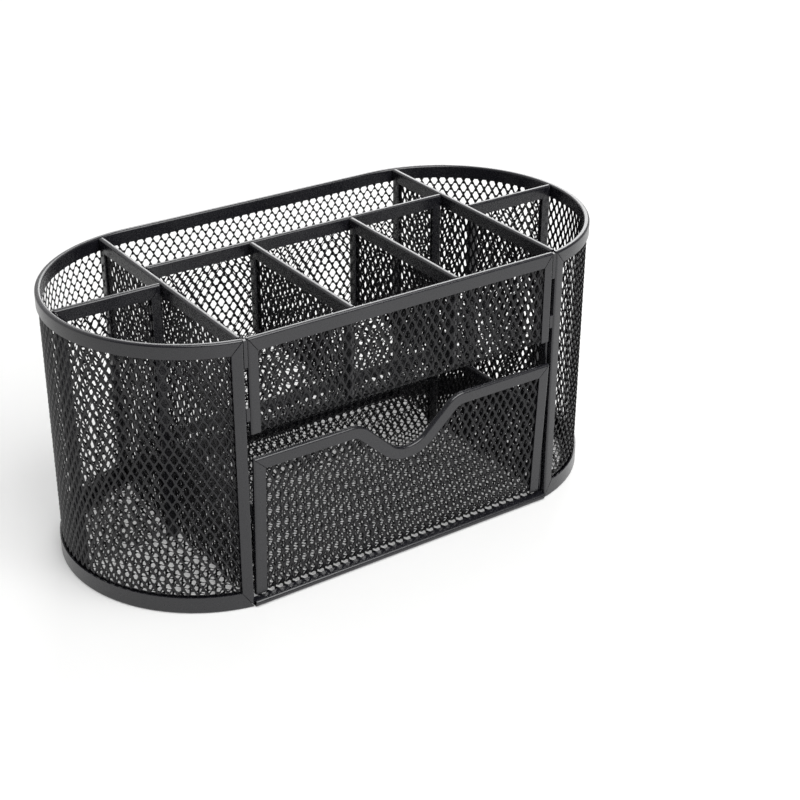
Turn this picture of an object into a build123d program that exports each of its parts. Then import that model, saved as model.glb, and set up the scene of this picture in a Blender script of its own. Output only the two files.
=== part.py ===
"""Desk pen stand of black mesh: eight open compartments on top, one sliding drawer below.

Frame: millimetres, +Z up. The origin is the middle of the footprint, on the desk. The long
side runs along X, and the drawer opens towards -Y.
"""
from build123d import *
from math import atan2, cos, radians, sin, sqrt, tan
import os

# ---------------------------------------------------------------- driving dimensions
# overall body
length = 220.0
width = 110.0
height = 105.0
foot_height = 0.3  # how far the rubber feet hold the base band off the desk

# mesh sheet, and the folded steel strip that edges it
sheet = 0.8
strip_steel = 0.6
fit_gap = 0.1  # slack between welded neighbours, so that no two of them share space
mitre_gap = 0.15  # open line between two mitred strips, measured along X

# widths of the edge strips, as seen from outside
rim_height = 5.2
band_height = 6.3
band_flange = 6.0  # inward flange of the base band, which carries the floor
wall_end_width = 4.2  # upright strips at the two ends of the outer wall
panel_side_width = 3.8
divider_top_height = 5.0
divider_side_width = 4.0

# front opening, and the upper panel in it
front_opening = 131.2
panel_gap = 1.4  # open line between the panel, or the drawer, and the wall ends
front_overhang = 1.031  # how far the sill and the drawer's upper edge stand in front of the panel
panel_height = 36.7
tab_inset = 0.3  # from the faces of the two strips that a tab joins to the tab's own faces
upper_tab_height = 10.0
upper_tab_drop = 0.5  # from the panel's upper edge to the top of the upper tabs
lower_tab_height = 5.0
lower_tab_rise = 6.2  # from the panel's lower edge to the foot of the lower tabs

# dividers
cross_divider_step = 0.7  # how far a cross divider's inner face stands into the opening
long_divider_y = 17.7
end_divider_y = 2.0
front_compartments = 3

# drawer front
drawer_foot = 3.6  # height of its lower edge
drawer_gap = 8.3  # open height between the upper panel and the drawer front
drawer_lean = 2.5  # degrees that it leans forward
drawer_trim_width = 4.6
dip_depth = 15.3
dip_floor = 9.0
dip_mouth = 41.0
dip_radius = 10.0
dip_floor_share = 0.95  # most of the dip's floor that its two rounded corners may use up

# drawer tray
tray_side_height = 37.0
tray_rim_height = 4.0
tray_side_gap = 0.7
tray_back_gap = 2.0
tray_floor_gap = 0.35  # over the sill, on which the drawer slides

# the flat sheets' diamond gaps, taller than wide
gap_pitch = 7.0
gap_pitch_tall = 12.2
strand = 1.4
mesh_border = 1.5

# rubber feet
foot_diameter = 8.0
foot_edge = 1.0  # from the outer wall's outline to the foot's edge
foot_bearing = 58.0  # degrees from the long axis, about the centre of each round end

# ---------------------------------------------------------------- sizes that follow
slot = sheet + 2 * fit_gap  # inner width of a folded strip
channel = slot + 2 * strip_steel  # its outer thickness
sheet_inset = strip_steel + fit_gap  # from a strip's outside to the face or edge of its sheet

end_radius = width / 2
end_centre = length / 2 - end_radius
half_opening = front_opening / 2
half_panel = half_opening - panel_gap


def wall_reach(x, inset):
    """How far the outline, moved inwards by inset, reaches in Y at this x."""
    over = max(abs(x) - end_centre, 0)
    return sqrt((end_radius - inset) ** 2 - over**2)


def end_reach(y, inset):
    """How far the outline, moved inwards by inset, reaches in X at this y."""
    return end_centre + sqrt((end_radius - inset) ** 2 - y**2)


front_y = -wall_reach(half_opening, 0)
base_z = foot_height
rim_z = height - rim_height
sheet_foot = base_z + sheet_inset
sheet_top = height - sheet_inset
floor_top = sheet_foot + sheet

cross_x = half_opening - cross_divider_step + channel / 2
cross_inner_x = cross_x - channel / 2
cross_outer_x = cross_x + channel / 2
cross_reach = wall_reach(cross_outer_x, channel) - fit_gap
long_front_y = long_divider_y - channel / 2
sill_front_y = front_y - front_overhang
sill_depth = -cross_reach - fit_gap - sill_front_y
panel_mid_y = front_y + channel / 2
panel_bottom = height - panel_height
shelf_top = panel_bottom + sheet

lean = radians(drawer_lean)
drawer_top = panel_bottom - drawer_gap
drawer_rise = (drawer_top - drawer_foot) / cos(lean)
drawer_mid_y = sill_front_y + drawer_rise * sin(lean) + channel / 2 * cos(lean)
tray_half = cross_inner_x - tray_side_gap
tray_side_x = tray_half - channel / 2
tray_inner_x = tray_side_x - sheet / 2 - fit_gap
tray_back_half = tray_half - channel - fit_gap
tray_z = base_z + channel + tray_floor_gap
tray_top = tray_z + tray_side_height
tray_back_y = long_front_y - tray_back_gap - channel / 2


def save(part, name):
    """Label one finished piece and write it."""
    part.label = name
    export_step(part, f"parts/{name}.step")


# ---------------------------------------------------------------- outlines seen from above
def outline(inset, mode=Mode.ADD):
    """The body's rounded outline, moved inwards by inset."""
    SlotOverall(length - 2 * inset, width - 2 * inset, mode=mode)


def cut_front(half_width):
    """Open the front of a sketch, as wide as the drawer's bay or a little wider."""
    with Locations((0, -width / 2)):
        Rectangle(2 * half_width, width, mode=Mode.SUBTRACT)


def wall_band(outer, inner, half_width=half_opening):
    """A band along the outer wall, between two insets, open at the front."""
    outline(outer)
    outline(inner, mode=Mode.SUBTRACT)
    cut_front(half_width)


def wall_end_shape(clear):
    """Front view of the right wall end's upright strip, its mitred edges moved out by clear."""
    outer_x = half_opening + wall_end_width + clear
    return [
        (half_opening, base_z - clear * band_height / wall_end_width),
        (outer_x, base_z + band_height),
        (outer_x, rim_z),
        (half_opening, height + clear * rim_height / wall_end_width),
    ]


with BuildPart() as wall_end_cutters:
    with BuildSketch(Plane.XZ):
        Polygon(*wall_end_shape(mitre_gap), align=None)
        mirror(about=Plane.YZ)
    extrude(amount=width)


# ---------------------------------------------------------------- flat panels and their strips
def panel_face(span, rise, lower=0.0, dips=False):
    """A panel's face in its own plane, from its lower left corner.

    Its upper edge is lowered by this much, square to the edge, and may dip in the middle.
    """
    left, right, foot = -lower, span + lower, -lower
    middle = span / 2
    slope = atan2(dip_depth, (dip_mouth - dip_floor) / 2)
    radius = min(dip_radius, dip_floor_share * dip_floor / 2 / tan(slope / 2))
    dip = [
        (middle + dip_mouth / 2, rise),
        (middle + dip_floor / 2, rise - dip_depth),
        (middle - dip_floor / 2, rise - dip_depth),
        (middle - dip_mouth / 2, rise),
    ]
    with BuildSketch() as face:
        corners = [(left, foot), (right, foot), (right, rise)]
        corners += dip if dips else []
        Polygon(*corners, (left, rise), align=None)
        if dips:
            bends = [v for v in face.vertices() if abs(v.X - middle) < dip_mouth]
            fillet(bends, radius=radius)
        if lower > 0:
            offset(amount=-lower, kind=Kind.INTERSECTION, mode=Mode.REPLACE)
    return face.sketch


def diamond_gaps(span, rise, top_width=0.0, side_width=0.0, dips=False):
    """Outlines of the diamond gaps that fill what a panel's strips leave open.

    They stand in two staggered grids, clear of the dip where the upper edge has one.
    """
    half_wide, half_tall = gap_pitch / 2, gap_pitch_tall / 2
    reach = half_wide * half_tall / sqrt(half_wide**2 + half_tall**2)
    share = 1 - strand / (2 * reach)
    free_span = span - 2 * (side_width + mesh_border)
    free_rise = rise - top_width - 2 * mesh_border
    columns = max(int(free_span / gap_pitch), 1)
    rows = max(int(free_rise / gap_pitch_tall), 1)
    middle = Vector(span / 2, mesh_border + free_rise / 2)
    dip_reach = dip_mouth / 2 + top_width
    dip_bottom = rise - dip_depth - top_width - mesh_border
    gaps = []
    for fewer in (0, 1):
        if min(columns, rows) <= fewer:
            continue
        for spot in GridLocations(gap_pitch, gap_pitch_tall, columns - fewer, rows - fewer):
            centre = middle + spot.position
            if dips and abs(spot.position.X) < dip_reach and centre.Y + half_tall > dip_bottom:
                continue
            across = Vector(half_wide * share, 0)
            along = Vector(0, half_tall * share)
            corners = [centre + across, centre + along, centre - across, centre - along]
            gaps.append(Wire.make_polygon(corners, close=True))
    return gaps


def mesh_panel(plane, span, rise, top_width=0.0, side_width=0.0, dips=False):
    """A flat mesh sheet whose middle lies on the plane, inside strips of these widths."""
    inset = sheet_inset if top_width else 0.0
    face = panel_face(span, rise, inset, dips)
    gaps = diamond_gaps(span, rise, top_width, side_width, dips)
    with BuildSketch() as solid_face:
        add(face)
        with Locations((span / 2, rise / 2)):
            Rectangle(span - 2 * inset, rise + height, mode=Mode.INTERSECT)
    return net_sheet(plane, solid_face.face(), gaps)


def net_sheet(plane, face, gaps):
    """A sheet of one holed face, its thickness shared by both sides of the plane."""
    with BuildPart() as net:
        with BuildSketch(plane):
            add(Face(face.outer_wire(), gaps))
        extrude(amount=sheet / 2, both=True)
    return net.part


def top_strip(plane, span, rise, top_width, side_width, dips=False):
    """The strip folded over a panel's upper edge, mitred at both ends."""
    whole = panel_face(span, rise, 0, dips)
    below = panel_face(span, rise, top_width, dips)
    fold = panel_face(span, rise, strip_steel, dips)
    with BuildPart() as strip:
        with BuildSketch(plane):
            add(whole)
            add(below, mode=Mode.SUBTRACT)
            Polygon(
                (mitre_gap, rise),
                (side_width + mitre_gap, rise - top_width),
                (side_width + mitre_gap, 0),
                (span - side_width - mitre_gap, 0),
                (span - side_width - mitre_gap, rise - top_width),
                (span - mitre_gap, rise),
                align=None,
                mode=Mode.INTERSECT,
            )
        extrude(amount=channel / 2, both=True)
        with BuildSketch(plane):
            add(fold)
        extrude(amount=slot / 2, both=True, mode=Mode.SUBTRACT)
    return strip.part


def side_strip(plane, span, rise, top_width, side_width, foot, right):
    """The strip folded round one upright edge of a panel, mitred at its top."""
    corners = [(0, foot), (side_width, foot), (side_width, rise - top_width), (0, rise)]
    fold = [(strip_steel, foot), (span / 2, foot), (span / 2, rise), (strip_steel, rise)]
    if right:
        corners = [(span - x, y) for x, y in corners]
        fold = [(span - x, y) for x, y in fold]
    with BuildPart() as strip:
        with BuildSketch(plane):
            Polygon(*corners, align=None)
        extrude(amount=channel / 2, both=True)
        with BuildSketch(plane):
            Polygon(*fold, align=None)
        extrude(amount=slot / 2, both=True, mode=Mode.SUBTRACT)
    return strip.part


def framed_panel(name, plane, span, rise, top_width, side_width, **options):
    """A mesh panel with its three edge strips, each a piece of its own."""
    dips = options.get("dips", False)
    foot = options.get("foot", 0.0)
    ends = options.get("ends", ("left", "right"))
    save(mesh_panel(plane, span, rise, top_width, side_width, dips), f"{name}_mesh")
    save(top_strip(plane, span, rise, top_width, side_width, dips), f"{name}_top_strip")
    for right, end in enumerate(ends):
        strip = side_strip(plane, span, rise, top_width, side_width, foot, right)
        save(strip, f"{name}_{end}_strip")


def upright(x, y, z, along):
    """A plane through this point that stands upright and runs along X or along Y."""
    if along == "x":
        return Plane(origin=(x, y, z), x_dir=(1, 0, 0), z_dir=(0, -1, 0))
    return Plane(origin=(x, y, z), x_dir=(0, 1, 0), z_dir=(1, 0, 0))


# ---------------------------------------------------------------- outer wall
os.makedirs("parts", exist_ok=True)

with BuildPart() as wall_mesh:
    with BuildSketch(Plane.XY.offset(sheet_foot)):
        wall_band(sheet_inset, sheet_inset + sheet, half_opening + sheet_inset)
    extrude(amount=sheet_top - sheet_foot)
save(wall_mesh.part, "wall_mesh")

with BuildPart() as rim_channel:
    with BuildSketch(Plane.XY.offset(rim_z)):
        wall_band(0, channel)
    extrude(amount=rim_height)
    with BuildSketch(Plane.XY.offset(rim_z)):
        wall_band(strip_steel, channel - strip_steel)
    extrude(amount=rim_height - strip_steel, mode=Mode.SUBTRACT)
    add(wall_end_cutters.part, mode=Mode.SUBTRACT)
save(rim_channel.part, "rim_channel")

with BuildPart() as base_band:
    with BuildSketch(Plane.XY.offset(base_z)):
        wall_band(0, channel)
    extrude(amount=band_height)
    with BuildSketch(Plane.XY.offset(base_z + strip_steel)):
        wall_band(strip_steel, channel - strip_steel)
    extrude(amount=band_height - strip_steel, mode=Mode.SUBTRACT)
    add(wall_end_cutters.part, mode=Mode.SUBTRACT)
    with BuildSketch(Plane.XY.offset(base_z)):
        wall_band(channel, band_flange)
    extrude(amount=strip_steel)
save(base_band.part, "base_band")

with BuildPart() as right_wall_end:
    with BuildSketch(Plane.XY.offset(base_z)):
        wall_band(0, channel)
    extrude(amount=height - base_z)
    with BuildSketch(Plane.XY.offset(base_z)):
        wall_band(strip_steel, channel - strip_steel, half_opening + strip_steel)
    extrude(amount=height - base_z, mode=Mode.SUBTRACT)
    with BuildSketch(Plane.XZ):
        Polygon(*wall_end_shape(0), align=None)
    extrude(amount=width, mode=Mode.INTERSECT)
save(right_wall_end.part, "right_wall_end_strip")

with BuildPart() as left_wall_end:
    mirror(right_wall_end.part, about=Plane.YZ)
save(left_wall_end.part, "left_wall_end_strip")

# ---------------------------------------------------------------- floor, sill and feet
with BuildPart() as floor_mesh:
    with BuildSketch(Plane.XY.offset(sheet_foot)):
        outline(channel + fit_gap)
        with Locations((0, sill_front_y + sheet_inset)):
            Rectangle(length, width, align=(Align.CENTER, Align.MAX), mode=Mode.SUBTRACT)
    extrude(amount=sheet)
save(floor_mesh.part, "floor_mesh")

with BuildPart() as base_front_strip:
    with BuildSketch(Plane.XY.offset(base_z)):
        with Locations((0, sill_front_y)):
            Rectangle(
                front_opening - 2 * fit_gap,
                sill_depth,
                align=(Align.CENTER, Align.MIN),
            )
    extrude(amount=channel)
    with BuildSketch(Plane.XY.offset(base_z + strip_steel)):
        with Locations((0, sill_front_y + strip_steel)):
            Rectangle(front_opening, sill_depth, align=(Align.CENTER, Align.MIN))
    extrude(amount=slot, mode=Mode.SUBTRACT)
save(base_front_strip.part, "base_front_strip")

foot_reach = end_radius - foot_edge - foot_diameter / 2
foot_x = end_centre + foot_reach * cos(radians(foot_bearing))
foot_y = foot_reach * sin(radians(foot_bearing))
with BuildPart() as rubber_feet:
    with BuildSketch():
        with GridLocations(2 * foot_x, 2 * foot_y, 2, 2):
            Circle(foot_diameter / 2)
    extrude(amount=foot_height)
save(rubber_feet.part, "rubber_feet")

# ---------------------------------------------------------------- upper front panel and shelf
framed_panel(
    "front_panel",
    upright(-half_panel, panel_mid_y, panel_bottom, "x"),
    2 * half_panel,
    panel_height,
    rim_height,
    panel_side_width,
    foot=sheet + fit_gap,
)

shelf_front_y = panel_mid_y + sheet / 2 + fit_gap
shelf_half = cross_inner_x - fit_gap
save(
    mesh_panel(
        Plane.XY.offset(panel_bottom + sheet / 2)
        * Location((-shelf_half, shelf_front_y, 0)),
        2 * shelf_half,
        long_front_y - fit_gap - shelf_front_y,
    ),
    "shelf_mesh",
)

with BuildPart() as panel_weld_tabs:
    for tab_foot, tab_height in (
        (panel_bottom + lower_tab_rise, lower_tab_height),
        (height - upper_tab_drop - upper_tab_height, upper_tab_height),
    ):
        with BuildSketch(Plane.XY.offset(tab_foot)):
            with GridLocations(half_opening + half_panel, 0, 2, 1):
                with Locations((0, panel_mid_y)):
                    Rectangle(panel_gap, channel - 2 * tab_inset)
        extrude(amount=tab_height)
save(panel_weld_tabs.part, "panel_weld_tabs")

# ---------------------------------------------------------------- dividers
full_rise = height - floor_top - fit_gap
for side_name, turn in (("left", -1), ("right", 1)):
    framed_panel(
        f"{side_name}_cross_divider",
        upright(turn * cross_x, -cross_reach, floor_top + fit_gap, "y"),
        2 * cross_reach,
        full_rise,
        divider_top_height,
        divider_side_width,
        ends=("front", "back"),
    )

framed_panel(
    "long_divider",
    upright(-shelf_half, long_divider_y, floor_top + fit_gap, "x"),
    2 * shelf_half,
    full_rise,
    divider_top_height,
    divider_side_width,
)

end_inner_x = cross_outer_x + fit_gap
end_span = end_reach(abs(end_divider_y) + channel / 2, channel) - fit_gap - end_inner_x
for side_name, start_x in (("left", -end_inner_x - end_span), ("right", end_inner_x)):
    framed_panel(
        f"{side_name}_end_divider",
        upright(start_x, end_divider_y, floor_top + fit_gap, "x"),
        end_span,
        full_rise,
        divider_top_height,
        divider_side_width,
    )

short_front_y = front_y + channel + fit_gap
short_step = 2 * cross_x / front_compartments
for index in range(1, front_compartments):
    framed_panel(
        f"short_divider_{index}",
        upright(index * short_step - cross_x, short_front_y, shelf_top + fit_gap, "y"),
        long_front_y - fit_gap - short_front_y,
        height - shelf_top - fit_gap,
        divider_top_height,
        divider_side_width,
        ends=("front", "back"),
    )

# ---------------------------------------------------------------- drawer
drawer_plane = Plane(
    origin=(-half_panel, drawer_mid_y, drawer_foot),
    x_dir=(1, 0, 0),
    z_dir=(0, -cos(lean), -sin(lean)),
)
framed_panel(
    "drawer_front",
    drawer_plane,
    2 * half_panel,
    drawer_rise,
    drawer_trim_width,
    drawer_trim_width,
    dips=True,
)


def behind_front(z):
    """Where a piece of the tray ends behind the leaning drawer front, at this height."""
    return drawer_mid_y + channel / 2 / cos(lean) - (z - drawer_foot) * tan(lean) + fit_gap


tray_front_y = behind_front(min(tray_z, drawer_foot))
tray_inner_back_y = tray_back_y - sheet / 2 - fit_gap
save(
    mesh_panel(
        Plane.XY.offset(tray_z + sheet / 2) * Location((-tray_inner_x, tray_front_y, 0)),
        2 * tray_inner_x,
        tray_inner_back_y - tray_front_y,
    ),
    "drawer_bottom_mesh",
)
save(
    mesh_panel(
        upright(-tray_back_half, tray_back_y, tray_z, "x"),
        2 * tray_back_half,
        tray_side_height - sheet_inset,
    ),
    "drawer_back_mesh",
)

side_rise = tray_side_height - sheet_inset
side_end_y = tray_back_y + sheet / 2
for side_name, turn in (("left", -1), ("right", 1)):
    side_plane = upright(turn * tray_side_x, tray_front_y, tray_z, "y")
    side_span = side_end_y - tray_front_y
    with BuildSketch() as side_face:
        Polygon(
            (0, 0),
            (side_span, 0),
            (side_span, side_rise),
            (behind_front(tray_z + side_rise) - tray_front_y, side_rise),
            align=None,
        )
    side_gaps = diamond_gaps(side_span, side_rise, tray_rim_height)
    save(net_sheet(side_plane, side_face.face(), side_gaps), f"drawer_{side_name}_side_mesh")

    rim_front_y = behind_front(tray_top - tray_rim_height)
    with BuildPart() as drawer_rim:
        with BuildSketch(Plane.XZ.offset(-side_end_y)):
            with Locations((turn * tray_side_x, tray_top - tray_rim_height / 2)):
                Rectangle(channel, tray_rim_height)
            with Locations((turn * tray_side_x, tray_top - (tray_rim_height + strip_steel) / 2)):
                Rectangle(slot, tray_rim_height - strip_steel, mode=Mode.SUBTRACT)
        extrude(amount=side_end_y - rim_front_y)
    save(drawer_rim.part, f"drawer_{side_name}_rim")

with BuildPart() as drawer_back_rim:
    with BuildSketch(Plane.YZ):
        with Locations((tray_back_y, tray_top - tray_rim_height / 2)):
            Rectangle(channel, tray_rim_height)
        with Locations((tray_back_y, tray_top - (tray_rim_height + strip_steel) / 2)):
            Rectangle(slot, tray_rim_height - strip_steel, mode=Mode.SUBTRACT)
    extrude(amount=tray_back_half, both=True)
save(drawer_back_rim.part, "drawer_back_rim")
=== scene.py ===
from math import ceil, cos, pi, radians, sin

import bmesh
import bpy
from mathutils import Matrix, Vector


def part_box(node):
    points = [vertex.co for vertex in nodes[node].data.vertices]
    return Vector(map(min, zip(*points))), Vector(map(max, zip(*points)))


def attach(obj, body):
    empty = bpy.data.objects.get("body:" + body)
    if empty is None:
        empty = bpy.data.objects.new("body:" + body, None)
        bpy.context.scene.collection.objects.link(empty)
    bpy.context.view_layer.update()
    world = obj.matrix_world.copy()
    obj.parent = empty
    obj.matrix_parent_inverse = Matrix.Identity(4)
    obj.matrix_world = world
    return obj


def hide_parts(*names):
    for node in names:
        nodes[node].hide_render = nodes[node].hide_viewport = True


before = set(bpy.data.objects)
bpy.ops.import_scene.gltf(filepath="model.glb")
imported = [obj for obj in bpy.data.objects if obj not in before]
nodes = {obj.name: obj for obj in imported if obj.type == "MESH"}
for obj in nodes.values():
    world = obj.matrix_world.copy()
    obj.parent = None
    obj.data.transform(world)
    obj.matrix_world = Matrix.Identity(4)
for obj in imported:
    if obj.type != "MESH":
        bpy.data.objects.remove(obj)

MM = 0.001
UP = Vector((0, 0, 1))

# ---------------------------------------------------------------- the maker's sizes
# expanded mesh: tall diamonds, strands thick along the middle and thin at their edges
CELL_WIDE = 3.5 * MM
CELL_TALL = 6.1 * MM
STRAND = 0.56 * MM
BOND_WIDTH = 0.85 * MM
STRAND_MIDDLE = 0.38 * MM
STRAND_EDGE = 0.14 * MM
STRAND_TWIST = radians(13)
SHEET = 0.8 * MM
# the bends of the folded sheets of mesh, measured along the sheet
NET_BEND = 1.2 * MM
# folded strips, and the coat's rounding of every edge
FOLD_RADIUS = 0.85 * MM
BAND_FOLD_RADIUS = 0.25 * MM
SILL_FOLD_RADIUS = 0.8 * MM
COAT_RADIUS = 0.14 * MM
# from a wall end strip's inner edge to the end of the wall's mesh in its slot
WALL_EDGE_INSET = 0.7 * MM
# drawer front, as in the part
DIP_DEPTH = 15.3 * MM
DIP_FLOOR = 9.0 * MM
DIP_MOUTH = 41.0 * MM
DRAWER_LEAN = radians(2.5)

# ---------------------------------------------------------------- how finely things are made
WELD_REACH = 0.01 * MM
STRIP_WELD_REACH = 0.002 * MM
SEAM_REACH = 0.01 * MM
SEAM_LAP = 0.001 * MM
PATH_SLACK = 0.02 * MM
FLAT_WITHIN = radians(1)
NET_SMOOTH_BELOW = radians(85)
STRIP_SMOOTH_BELOW = radians(40)
STRIP_SHARP_ABOVE = radians(50)
FOLD_STEPS = 4
COAT_STEPS = 2
ARC_STEPS = 180
FLOOR_CUT_LAST = 80
FLOOR_CUT_STEP = 8
# the slot that is opened for the finger dip, and the holes left along it
SLOT_REACH = 2.0 * MM
HOLE_SIDES = 12

for leftover in ("Cube", "Light", "Camera"):
    if leftover in bpy.data.objects:
        bpy.data.objects.remove(bpy.data.objects[leftover])
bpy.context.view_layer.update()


# ---------------------------------------------------------------- picking up and putting down
def take(*pieces):
    """Select these pieces alone; the last one is worked on."""
    bpy.ops.object.select_all(action="DESELECT")
    for piece in pieces:
        piece.select_set(True)
    bpy.context.view_layer.objects.active = pieces[-1]


def open_up(piece):
    """Start editing one piece."""
    take(piece)
    bpy.ops.object.mode_set(mode="EDIT")


def close_up():
    """Stop editing."""
    bpy.ops.object.mode_set(mode="OBJECT")


def settle(piece):
    """Move a piece's place into its mesh."""
    take(piece)
    bpy.ops.object.transform_apply(location=True, rotation=True, scale=True)


def pick(kind, rule):
    """Of the piece being edited, select the corners, edges or faces that the rule holds for."""
    bpy.ops.mesh.select_mode(type=kind)
    bpy.ops.mesh.select_all(action="DESELECT")
    form = bmesh.from_edit_mesh(bpy.context.edit_object.data)
    for part in {"VERT": form.verts, "EDGE": form.edges, "FACE": form.faces}[kind]:
        if rule(part):
            part.select_set(True)
    bmesh.update_edit_mesh(bpy.context.edit_object.data)


def cut(place, away):
    """Cut what is selected with a plane and throw away the side that this direction points to."""
    bpy.ops.mesh.bisect(plane_co=place, plane_no=away, use_fill=True, clear_outer=True)


def modify(piece, kind, **settings):
    """Add a modifier with these settings and apply it."""
    take(piece)
    bpy.ops.object.modifier_add(type=kind)
    modifier = piece.modifiers[-1]
    for setting, value in settings.items():
        setattr(modifier, setting, value)
    bpy.ops.object.modifier_apply(modifier=modifier.name)


def copy_of(piece):
    """A second piece with its own mesh."""
    take(piece)
    bpy.ops.object.duplicate()
    return bpy.context.object


# ---------------------------------------------------------------- expanded mesh
ON_AXIS = CELL_WIDE / 20
HOLE_TIP_FROM = CELL_TALL / 4
HOLE_TIP_TO = CELL_TALL * 0.45
HOLE_SHARE = 0.45  # of the cell's half sides: corners nearer than this belong to the hole
FLAT_FACING = 0.5  # faces whose normal lies less than this towards Y stand on edge


def at_bond(place):
    """Whether a corner is the upper or lower tip of the diamond's hole."""
    return abs(place.x) < ON_AXIS and HOLE_TIP_FROM < abs(place.z) < HOLE_TIP_TO


def round_hole(place):
    """Whether a corner belongs to the diamond's hole and not to its outer edge."""
    return abs(place.x) / CELL_WIDE + abs(place.z) / CELL_TALL < HOLE_SHARE


def make_cell():
    """One diamond of the mesh on XZ: the near halves of the strands round its hole."""
    bpy.ops.mesh.primitive_circle_add(
        vertices=4, radius=CELL_TALL / 2, fill_type="NGON", rotation=(pi / 2, 0, 0)
    )
    cell = bpy.context.object
    settle(cell)
    open_up(cell)
    bpy.ops.mesh.select_all(action="SELECT")
    bpy.ops.transform.resize(value=(CELL_WIDE / CELL_TALL, 1, 1))
    bpy.ops.transform.translate(value=(0, -STRAND_MIDDLE / 2, 0))
    bpy.ops.mesh.extrude_region_move(
        TRANSFORM_OT_translate={"value": (0, STRAND_MIDDLE, 0)}
    )
    bpy.ops.mesh.select_all(action="SELECT")
    bpy.ops.mesh.normals_make_consistent(inside=False)
    pick("FACE", lambda face: abs(face.normal.y) < FLAT_FACING)
    bpy.ops.mesh.delete(type="ONLY_FACE")
    pick("FACE", lambda face: True)
    bpy.ops.mesh.inset(
        thickness=STRAND / 2,
        depth=-(STRAND_MIDDLE - STRAND_EDGE) / 2,
        use_boundary=True,
        use_individual=True,
    )
    bpy.ops.mesh.bridge_edge_loops()
    pick("EDGE", lambda edge: all(at_bond(corner.co) for corner in edge.verts))
    bpy.ops.mesh.bevel(offset_type="WIDTH", offset=BOND_WIDTH, segments=1, affect="EDGES")
    pick("VERT", lambda corner: round_hole(corner.co))
    bpy.ops.transform.rotate(value=STRAND_TWIST, orient_axis="Z", center_override=(0, 0, 0))
    close_up()
    return cell


cell = make_cell()


def grid_of(columns, rows):
    """The cell repeated in columns and rows, about the origin."""
    grid = copy_of(cell)
    grid.location = (-(columns - 1) / 2 * CELL_WIDE, 0, -(rows - 1) / 2 * CELL_TALL)
    settle(grid)
    for count, step in ((columns, (CELL_WIDE, 0, 0)), (rows, (0, 0, CELL_TALL))):
        modify(
            grid,
            "ARRAY",
            count=count,
            use_relative_offset=False,
            use_constant_offset=True,
            constant_offset_displace=step,
        )
    return grid


def net(name, wide, tall):
    """A flat sheet of the mesh on XZ, its middle on the origin, cut to this size."""
    columns, rows = ceil(wide / CELL_WIDE) + 1, ceil(tall / CELL_TALL) + 1
    between = grid_of(columns + 1, rows + 1)
    sheet = grid_of(columns, rows)
    take(between, sheet)
    bpy.ops.object.join()
    sheet.name = sheet.data.name = name
    open_up(sheet)
    bpy.ops.mesh.select_all(action="SELECT")
    bpy.ops.mesh.remove_doubles(threshold=WELD_REACH)
    for size, sides in ((wide, ((1, 0, 0), (-1, 0, 0))), (tall, ((0, 0, 1), (0, 0, -1)))):
        for away in sides:
            bpy.ops.mesh.select_all(action="SELECT")
            cut(Vector(away) * size / 2, away)
    bpy.ops.mesh.select_all(action="SELECT")
    bpy.ops.mesh.normals_make_consistent(inside=False)
    close_up()
    return sheet


def finish_net(sheet, body, *replaced):
    """Shade a finished sheet as round strands, give it its finish and fix it to its body."""
    settle(sheet)
    bpy.ops.object.shade_smooth_by_angle(angle=NET_SMOOTH_BELOW)
    sheet.data.materials.clear()
    sheet.data.materials.append(net_coat)
    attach(sheet, body)
    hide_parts(*replaced)
    return sheet


def upright_net(node, body):
    """The mesh in place of one flat, upright sheet of the part."""
    low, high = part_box(node)
    middle, size = (low + high) / 2, high - low
    along_y = size.y > size.x
    sheet = net(node + "_net", max(size.x, size.y), size.z)
    sheet.rotation_euler = (0, 0, pi / 2 if along_y else 0)
    sheet.location = middle
    return finish_net(sheet, body, node)


# ---------------------------------------------------------------- finishes
GRAIN_SCALE = 5000.0
PEEL_DETAIL = 2.0
GRAIN_DETAIL = 1.0
CLOUD_DETAIL = 4.0
CLOUD_SHARE = 0.6  # of the light colour that the clouding can bring
GRAIN_HEIGHT = 0.4  # of the peel's depth
PEEL_STRENGTH = 0.6


def nodes_of(owner):
    """The emptied node tree of a material or of the world."""
    owner.use_nodes = True
    owner.node_tree.nodes.clear()
    return owner.node_tree


def worked_out(tree, operation, *values):
    """The outcome of a sum, product or the like on sockets and plain numbers."""
    step = tree.nodes.new("ShaderNodeMath")
    step.operation = operation
    for socket, value in zip(step.inputs, values):
        if isinstance(value, float):
            socket.default_value = value
        else:
            tree.links.new(value, socket)
    return step.outputs[0]


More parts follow.
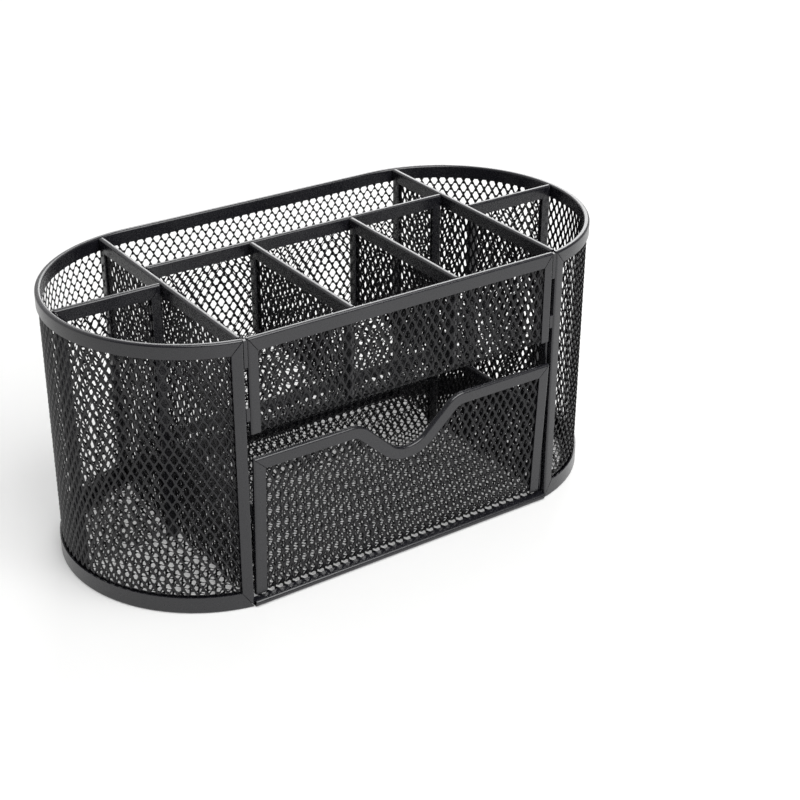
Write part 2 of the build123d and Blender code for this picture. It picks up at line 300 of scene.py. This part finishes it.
def make_coat_group():
    """Powder coat: orange peel, fine grain and slow clouding, all in real sizes."""
    group = bpy.data.node_groups.new("powder_coat", "ShaderNodeTree")
    socket = group.interface.new_socket
    for label, start in (("Peel Scale", 1500.0), ("Cloud Scale", 60.0), ("Grain", 0.5)):
        socket(label, in_out="INPUT", socket_type="NodeSocketFloat").default_value = start
    for label in ("Dark Colour", "Light Colour"):
        socket(label, in_out="INPUT", socket_type="NodeSocketColor")
    for label in ("Smooth Roughness", "Rough Roughness"):
        socket(label, in_out="INPUT", socket_type="NodeSocketFloat")
    socket("Colour", in_out="OUTPUT", socket_type="NodeSocketColor")
    for label in ("Roughness", "Height"):
        socket(label, in_out="OUTPUT", socket_type="NodeSocketFloat")
    new, link = group.nodes.new, group.links.new
    given, out = new("NodeGroupInput"), new("NodeGroupOutput")
    place = new("ShaderNodeTexCoord")
    peel, grain, cloud = (new("ShaderNodeTexNoise") for _ in range(3))
    for noise in (peel, grain, cloud):
        link(place.outputs["Object"], noise.inputs["Vector"])
    link(given.outputs["Peel Scale"], peel.inputs["Scale"])
    link(given.outputs["Cloud Scale"], cloud.inputs["Scale"])
    peel.inputs["Detail"].default_value = PEEL_DETAIL
    grain.inputs["Scale"].default_value = GRAIN_SCALE
    grain.inputs["Detail"].default_value = GRAIN_DETAIL
    cloud.inputs["Detail"].default_value = CLOUD_DETAIL
    speck = worked_out(group, "MULTIPLY", grain.outputs["Fac"], given.outputs["Grain"])
    tone = worked_out(group, "MULTIPLY_ADD", cloud.outputs["Fac"], CLOUD_SHARE, speck)
    height = worked_out(group, "MULTIPLY_ADD", speck, GRAIN_HEIGHT, peel.outputs["Fac"])
    colour = new("ShaderNodeMix")
    colour.data_type = "RGBA"
    link(tone, colour.inputs["Factor"])
    link(given.outputs["Dark Colour"], colour.inputs["A"])
    link(given.outputs["Light Colour"], colour.inputs["B"])
    rough = new("ShaderNodeMix")
    link(peel.outputs["Fac"], rough.inputs["Factor"])
    link(given.outputs["Smooth Roughness"], rough.inputs["A"])
    link(given.outputs["Rough Roughness"], rough.inputs["B"])
    link(colour.outputs["Result"], out.inputs["Colour"])
    link(rough.outputs["Result"], out.inputs["Roughness"])
    link(height, out.inputs["Height"])
    return group


coat_group = make_coat_group()


def coat(name, dark, light, smooth, rough, peel_depth, shine=0.5):
    """A coated or moulded surface with its own tones, gloss and peel."""
    material = bpy.data.materials.new(name)
    tree = nodes_of(material)
    new, link = tree.nodes.new, tree.links.new
    surface = new("ShaderNodeGroup")
    surface.node_tree = coat_group
    surface.inputs["Dark Colour"].default_value = (*dark, 1)
    surface.inputs["Light Colour"].default_value = (*light, 1)
    surface.inputs["Smooth Roughness"].default_value = smooth
    surface.inputs["Rough Roughness"].default_value = rough
    shader = new("ShaderNodeBsdfPrincipled")
    out = new("ShaderNodeOutputMaterial")
    bump = new("ShaderNodeBump")
    bump.inputs["Distance"].default_value = peel_depth
    bump.inputs["Strength"].default_value = PEEL_STRENGTH
    shader.inputs["Specular IOR Level"].default_value = shine
    link(surface.outputs["Height"], bump.inputs["Height"])
    link(bump.outputs["Normal"], shader.inputs["Normal"])
    link(surface.outputs["Colour"], shader.inputs["Base Color"])
    link(surface.outputs["Roughness"], shader.inputs["Roughness"])
    link(shader.outputs["BSDF"], out.inputs["Surface"])
    return material


strip_coat = coat(
    "black_powder_coat_strips",
    dark=(0.006, 0.006, 0.008),
    light=(0.013, 0.013, 0.017),
    smooth=0.2,
    rough=0.32,
    peel_depth=0.012 * MM,
    shine=0.66,
)
net_coat = coat(
    "black_powder_coat_mesh",
    dark=(0.004, 0.004, 0.005),
    light=(0.009, 0.009, 0.011),
    smooth=0.2,
    rough=0.32,
    peel_depth=0.01 * MM,
    shine=0.4,
)
foot_rubber = coat(
    "black_rubber",
    dark=(0.012, 0.012, 0.012),
    light=(0.026, 0.026, 0.026),
    smooth=0.7,
    rough=0.9,
    peel_depth=0.04 * MM,
)

# ---------------------------------------------------------------- outer wall and floor
base_low, base_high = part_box("base_band")
END_RADIUS = base_high.y
END_CENTRE = base_high.x - END_RADIUS


def wall_path(radius, front_x):
    """A line along the middle of the wall, from one side of the drawer's bay round to the other."""
    bpy.ops.mesh.primitive_circle_add(
        vertices=ARC_STEPS, radius=radius, fill_type="NOTHING", location=(END_CENTRE, 0, 0)
    )
    path = bpy.context.object
    settle(path)
    open_up(path)
    bpy.ops.mesh.select_all(action="SELECT")
    inwards = (-1, 0, 0)
    bpy.ops.mesh.bisect(
        plane_co=(END_CENTRE - SEAM_LAP, 0, 0), plane_no=inwards, clear_outer=True
    )
    pick("EDGE", lambda edge: all(corner.co.y < 0 for corner in edge.verts))
    bpy.ops.mesh.bisect(plane_co=(front_x, 0, 0), plane_no=inwards, clear_outer=True)
    close_up()
    modify(path, "MIRROR", use_mirror_merge=False)
    open_up(path)
    pick("VERT", lambda corner: corner.co.y > 0 and abs(corner.co.x) < END_CENTRE + SEAM_REACH)
    bpy.ops.mesh.edge_face_add()
    close_up()
    take(path)
    bpy.ops.object.convert(target="CURVE")
    return path


wall_low, wall_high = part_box("wall_mesh")
wall_middle = wall_high.y - SHEET / 2
wall_front_x = -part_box("left_wall_end_strip")[1].x + WALL_EDGE_INSET
path = wall_path(wall_middle, wall_front_x)
path_points = [point.co.to_3d() for point in path.data.splines[0].points]
wall_length = sum((b - a).length for a, b in zip(path_points, path_points[1:]))
wall_net = net("wall_net", wall_length - PATH_SLACK, wall_high.z - wall_low.z)
wall_net.location = (wall_length / 2, 0, (wall_high.z + wall_low.z) / 2)
settle(wall_net)
modify(wall_net, "CURVE", object=path)
bpy.data.objects.remove(path)
finish_net(wall_net, "stand", "wall_mesh")

floor_low, floor_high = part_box("floor_mesh")
floor_net = net("floor_net", floor_high.x - floor_low.x, floor_high.y - floor_low.y)
floor_net.rotation_euler = (-pi / 2, 0, 0)
floor_net.location = (floor_low + floor_high) / 2
settle(floor_net)
open_up(floor_net)
round_end = floor_high.y
for end in (-1, 1):
    for turn in range(-FLOOR_CUT_LAST, FLOOR_CUT_LAST + 1, FLOOR_CUT_STEP):
        away = Vector((end * cos(radians(turn)), sin(radians(turn)), 0))
        bpy.ops.mesh.select_all(action="SELECT")
        cut(Vector((end * END_CENTRE, 0, 0)) + away * round_end, away)
close_up()
finish_net(floor_net, "stand", "floor_mesh")

# ---------------------------------------------------------------- dividers
for node in sorted(nodes):
    if node.endswith("divider_mesh") or node.startswith("short_divider") and node.endswith("mesh"):
        upright_net(node, "stand")


# ---------------------------------------------------------------- folded sheets
def fold(place, way, angle):
    """Fold the part of the edited sheet that lies this way from a line along X, about that line."""
    here = Vector(place)
    reach = Vector(way)
    pick("VERT", lambda corner: (corner.co - here).dot(reach) > 0)
    bpy.ops.transform.rotate(value=angle, orient_axis="X", center_override=here)


def bend_reach(angle):
    """How far from the corner line a bend of this angle begins."""
    return NET_BEND / (2 * cos(angle / 2))


def bend_saving(angle):
    """How much sheet is saved by going round the bend and not into the corner."""
    return 2 * bend_reach(angle) - NET_BEND


def fold_up(line_y, height, side, angle):
    """Fold a level sheet up at a line, in two steps that leave a rounded bend."""
    start = Vector((0, line_y - side * bend_reach(angle), height))
    fold(start, (0, side, 0), -side * angle / 2)
    half = Vector((0, side * cos(angle / 2), sin(angle / 2)))
    fold(start + half * NET_BEND, half, -side * angle / 2)


def level_net(name, wide, near_y, far_y, height):
    """A level sheet of the mesh between two distances, its diamonds pointing to the back."""
    sheet = net(name, wide, far_y - near_y)
    sheet.rotation_euler = (-pi / 2, 0, 0)
    sheet.location = (0, (near_y + far_y) / 2, height)
    settle(sheet)
    return sheet


def trim_sides(rule, half_width):
    """Narrow the part of the edited sheet that the rule picks."""
    for side in (-1, 1):
        pick("FACE", lambda face: rule(face.calc_center_median()))
        cut((side * half_width, 0, 0), (side, 0, 0))


panel_low, panel_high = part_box("front_panel_mesh")
shelf_low, shelf_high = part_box("shelf_mesh")
panel_y = (panel_low.y + panel_high.y) / 2
shelf_z = (shelf_low.z + shelf_high.z) / 2
panel_rise = panel_high.z - shelf_z - bend_saving(pi / 2)
panel_net = level_net(
    "front_panel_and_shelf_net",
    shelf_high.x - shelf_low.x,
    panel_y - panel_rise,
    shelf_high.y,
    shelf_z,
)
open_up(panel_net)
trim_sides(lambda middle: middle.y < panel_y, panel_high.x)
fold_up(panel_y, shelf_z, -1, pi / 2)
close_up()
finish_net(panel_net, "stand", "front_panel_mesh", "shelf_mesh")

# drawer: front, bottom and back are one folded sheet, the sides are two more
front_low, front_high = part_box("drawer_front_mesh")
tray_low, tray_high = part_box("drawer_bottom_mesh")
back_low, back_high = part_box("drawer_back_mesh")
tray_z = (tray_low.z + tray_high.z) / 2
back_y = (back_low.y + back_high.y) / 2
front_foot_y = front_high.y - SHEET / 2
front_turn = pi / 2 - DRAWER_LEAN
front_rise = (front_high.z - tray_z) / cos(DRAWER_LEAN) - bend_saving(front_turn)
drawer_net = level_net(
    "drawer_front_bottom_and_back_net",
    front_high.x - front_low.x,
    front_foot_y - front_rise,
    back_y + back_high.z - tray_z - bend_saving(pi / 2),
    tray_z,
)


def dip_edge(x):
    """How far the drawer front's sheet runs from its foot, at this distance from the middle."""
    share = (abs(x) - DIP_FLOOR / 2) / ((DIP_MOUTH - DIP_FLOOR) / 2)
    return front_rise - DIP_DEPTH * (1 - min(max(share, 0), 1))


def in_dip(place):
    """Whether a spot of the level sheet lies in the finger dip, or in the strip's slot round it."""
    aside = abs(place.x)
    reach = front_foot_y - place.y
    return (
        aside < DIP_MOUTH / 2 + SLOT_REACH
        and reach > dip_edge(max(aside - SLOT_REACH, 0)) - SLOT_REACH
    )


open_up(drawer_net)
pick("FACE", lambda face: in_dip(face.calc_center_median()))
bpy.ops.mesh.delete(type="FACE")
bpy.ops.mesh.select_mode(type="EDGE")
bpy.ops.mesh.select_all(action="SELECT")
bpy.ops.mesh.fill_holes(sides=HOLE_SIDES)
trim_sides(lambda middle: front_foot_y < middle.y < back_y, tray_high.x)
trim_sides(lambda middle: middle.y > back_y, back_high.x)
fold_up(back_y, tray_z, 1, pi / 2)
fold_up(front_foot_y, tray_z, -1, front_turn)
close_up()
finish_net(drawer_net, "drawer", "drawer_front_mesh", "drawer_bottom_mesh", "drawer_back_mesh")
for side in ("left", "right"):
    side_net = upright_net(f"drawer_{side}_side_mesh", "drawer")
    open_up(side_net)
    bpy.ops.mesh.select_all(action="SELECT")
    cut((0, front_high.y, tray_z), (0, -cos(DRAWER_LEAN), -sin(DRAWER_LEAN)))
    close_up()


# ---------------------------------------------------------------- folded strips
ALONG = 0.7  # a run that has more than this of a direction goes along it
SIDEWAYS = 0.3  # a face whose normal has less than this of a direction looks sideways to it


def folded_strip(node, body, outward, across=None, fold_radius=FOLD_RADIUS):
    """A strip of the part with its folded edge and its coat's edges rounded."""
    outward = Vector(outward)
    piece = bpy.data.objects.new(node + "_folded", nodes[node].data.copy())
    bpy.context.scene.collection.objects.link(piece)
    open_up(piece)
    bpy.ops.mesh.select_all(action="SELECT")
    bpy.ops.mesh.remove_doubles(threshold=STRIP_WELD_REACH)
    bpy.ops.mesh.dissolve_limited(angle_limit=FLAT_WITHIN)

    def on_fold(edge):
        if len(edge.link_faces) != 2:
            return False
        facing = sorted(face.normal.dot(outward) for face in edge.link_faces)
        run = (edge.verts[1].co - edge.verts[0].co).normalized()
        crosswise = across is not None and abs(run.dot(Vector(across))) > ALONG
        return abs(facing[0]) < SIDEWAYS and facing[1] > SIDEWAYS and not crosswise

    pick("EDGE", on_fold)
    bpy.ops.mesh.bevel(offset=fold_radius, segments=FOLD_STEPS, affect="EDGES")
    close_up()
    modify(
        piece,
        "BEVEL",
        width=COAT_RADIUS,
        segments=COAT_STEPS,
        limit_method="ANGLE",
        angle_limit=STRIP_SHARP_ABOVE,
    )
    take(piece)
    bpy.ops.object.shade_smooth_by_angle(angle=STRIP_SMOOTH_BELOW)
    modify(piece, "WEIGHTED_NORMAL", keep_sharp=True, weight=100)
    piece.data.materials.clear()
    piece.data.materials.append(strip_coat)
    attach(piece, body)
    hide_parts(node)
    return piece


drawer_up = Vector((0, -sin(DRAWER_LEAN), cos(DRAWER_LEAN)))
SIDES = {"left": (-1, 0, 0), "right": (1, 0, 0), "front": (0, -1, 0), "back": (0, 1, 0)}
for node in sorted(nodes):
    if not node.endswith("_strip") or node == "base_front_strip":
        continue
    body = "drawer" if node.startswith("drawer") else "stand"
    kind = node.split("_")[-2]
    if node.endswith("wall_end_strip"):
        inwards = (1, 0, 0) if node.startswith("left") else (-1, 0, 0)
        folded_strip(node, body, inwards, across=(0, 1, 0))
        continue
    runs_along_y = "cross" in node or "short" in node
    across = (1, 0, 0) if runs_along_y else (0, 1, 0)
    if kind == "top":
        outward = drawer_up if body == "drawer" else UP
    else:
        outward = SIDES[kind]
    folded_strip(node, body, outward, across)

folded_strip("rim_channel", "stand", UP)
folded_strip("base_band", "stand", -UP, fold_radius=BAND_FOLD_RADIUS)
folded_strip("base_front_strip", "stand", (0, -1, 0), fold_radius=SILL_FOLD_RADIUS)
for node in ("drawer_left_rim", "drawer_right_rim"):
    folded_strip(node, "drawer", UP, across=(1, 0, 0))
folded_strip("drawer_back_rim", "drawer", UP, across=(0, 1, 0))

for name, material in (("rubber_feet", foot_rubber), ("panel_weld_tabs", strip_coat)):
    nodes[name].data.materials.clear()
    nodes[name].data.materials.append(material)

bpy.data.objects.remove(cell)

# ---------------------------------------------------------------- floor, light and camera
bpy.context.scene.view_settings.view_transform = "Standard"

# an added glow keeps the desk pale where the camera sees it, and lights nothing
DESK_WIDE = 8
DESK_COLOUR = (0.74, 0.74, 0.735, 1)
DESK_ROUGHNESS = 0.7
DESK_GLOW = 0.25
# the room is white to the camera. To the object it is dimmer, and darkest behind the camera:
# the two last values say how much of a direction is +Y where the dark part ends and the full begins
ROOM_LIGHT = 0.6
ROOM_SEEN = 1.0
ROOM_DARKEST = 0.15
ROOM_DARK_TO = -0.2
ROOM_FULL_FROM = 0.5


def seen_by_camera(tree):
    """1 for rays from the camera, straight, mirrored or through glass, and 0 for rays of light."""
    rays = tree.nodes.new("ShaderNodeLightPath").outputs
    seen = worked_out(tree, "MAXIMUM", rays["Is Camera Ray"], rays["Is Glossy Ray"])
    return worked_out(tree, "MAXIMUM", seen, rays["Is Transmission Ray"]), rays


bpy.ops.mesh.primitive_plane_add(size=DESK_WIDE)
desk = bpy.context.object
desk.name = "desk"
desk_finish = bpy.data.materials.new("pale_desk")
tree = nodes_of(desk_finish)
new, link = tree.nodes.new, tree.links.new
matt = new("ShaderNodeBsdfPrincipled")
matt.inputs["Base Color"].default_value = DESK_COLOUR
matt.inputs["Roughness"].default_value = DESK_ROUGHNESS
glow = new("ShaderNodeEmission")
seen, rays = seen_by_camera(tree)
link(worked_out(tree, "MULTIPLY", seen, DESK_GLOW), glow.inputs["Strength"])
lit = new("ShaderNodeAddShader")
link(matt.outputs[0], lit.inputs[0])
link(glow.outputs[0], lit.inputs[1])
out = new("ShaderNodeOutputMaterial")
link(lit.outputs[0], out.inputs["Surface"])
desk.data.materials.append(desk_finish)

world = bpy.context.scene.world or bpy.data.worlds.new("studio")
bpy.context.scene.world = world
tree = nodes_of(world)
new, link = tree.nodes.new, tree.links.new
seen, rays = seen_by_camera(tree)
level = new("ShaderNodeMix")
link(seen, level.inputs["Factor"])
level.inputs["A"].default_value = ROOM_LIGHT
level.inputs["B"].default_value = ROOM_SEEN
split = new("ShaderNodeSeparateXYZ")
link(new("ShaderNodeTexCoord").outputs["Generated"], split.inputs[0])
depth = new("ShaderNodeMapRange")
link(split.outputs["Y"], depth.inputs["Value"])
depth.inputs["From Min"].default_value = ROOM_DARK_TO
depth.inputs["From Max"].default_value = ROOM_FULL_FROM
depth.inputs["To Min"].default_value = ROOM_DARKEST
depth.inputs["To Max"].default_value = 1.0
shown = worked_out(tree, "MAXIMUM", depth.outputs["Result"], rays["Is Camera Ray"])
room = new("ShaderNodeBackground")
link(worked_out(tree, "MULTIPLY", level.outputs["Result"], shown), room.inputs["Strength"])
out = new("ShaderNodeOutputWorld")
link(room.outputs[0], out.inputs["Surface"])


def soft_box(name, place, aim, size, power):
    """A square studio light that faces the object."""
    place = Vector(place)
    turn = (Vector(aim) - place).to_track_quat("-Z", "Y").to_euler()
    bpy.ops.object.light_add(type="AREA", location=place, rotation=turn)
    lamp = bpy.context.object
    lamp.name = name
    lamp.data.size = size
    lamp.data.energy = power


soft_box("front_top_box", place=(0.1, -0.6, 0.95), aim=(0, 0, 0.05), size=0.95, power=15)
soft_box("back_box", place=(0.7, 0.9, 0.55), aim=(0, 0, 0.08), size=0.7, power=6)

# the camera that was fitted to the photograph
VIEW_TURN = radians(-34.801)
VIEW_RISE = radians(27.985)
VIEW_ROLL = radians(0.344)
VIEW_DISTANCE = 659.12 * MM
VIEW_TARGET = Vector((33.786, 0, 29.690)) * MM
VIEW_LENS = 74.14
back = Vector((sin(VIEW_TURN) * cos(VIEW_RISE), -cos(VIEW_TURN) * cos(VIEW_RISE), sin(VIEW_RISE)))
turn = (
    Matrix.Rotation(VIEW_TURN, 4, "Z")
    @ Matrix.Rotation(pi / 2 - VIEW_RISE, 4, "X")
    @ Matrix.Rotation(VIEW_ROLL, 4, "Z")
)
bpy.ops.object.camera_add(location=VIEW_TARGET + back * VIEW_DISTANCE, rotation=turn.to_euler())
camera = bpy.context.object
camera.data.lens = VIEW_LENS
bpy.context.scene.camera = camera
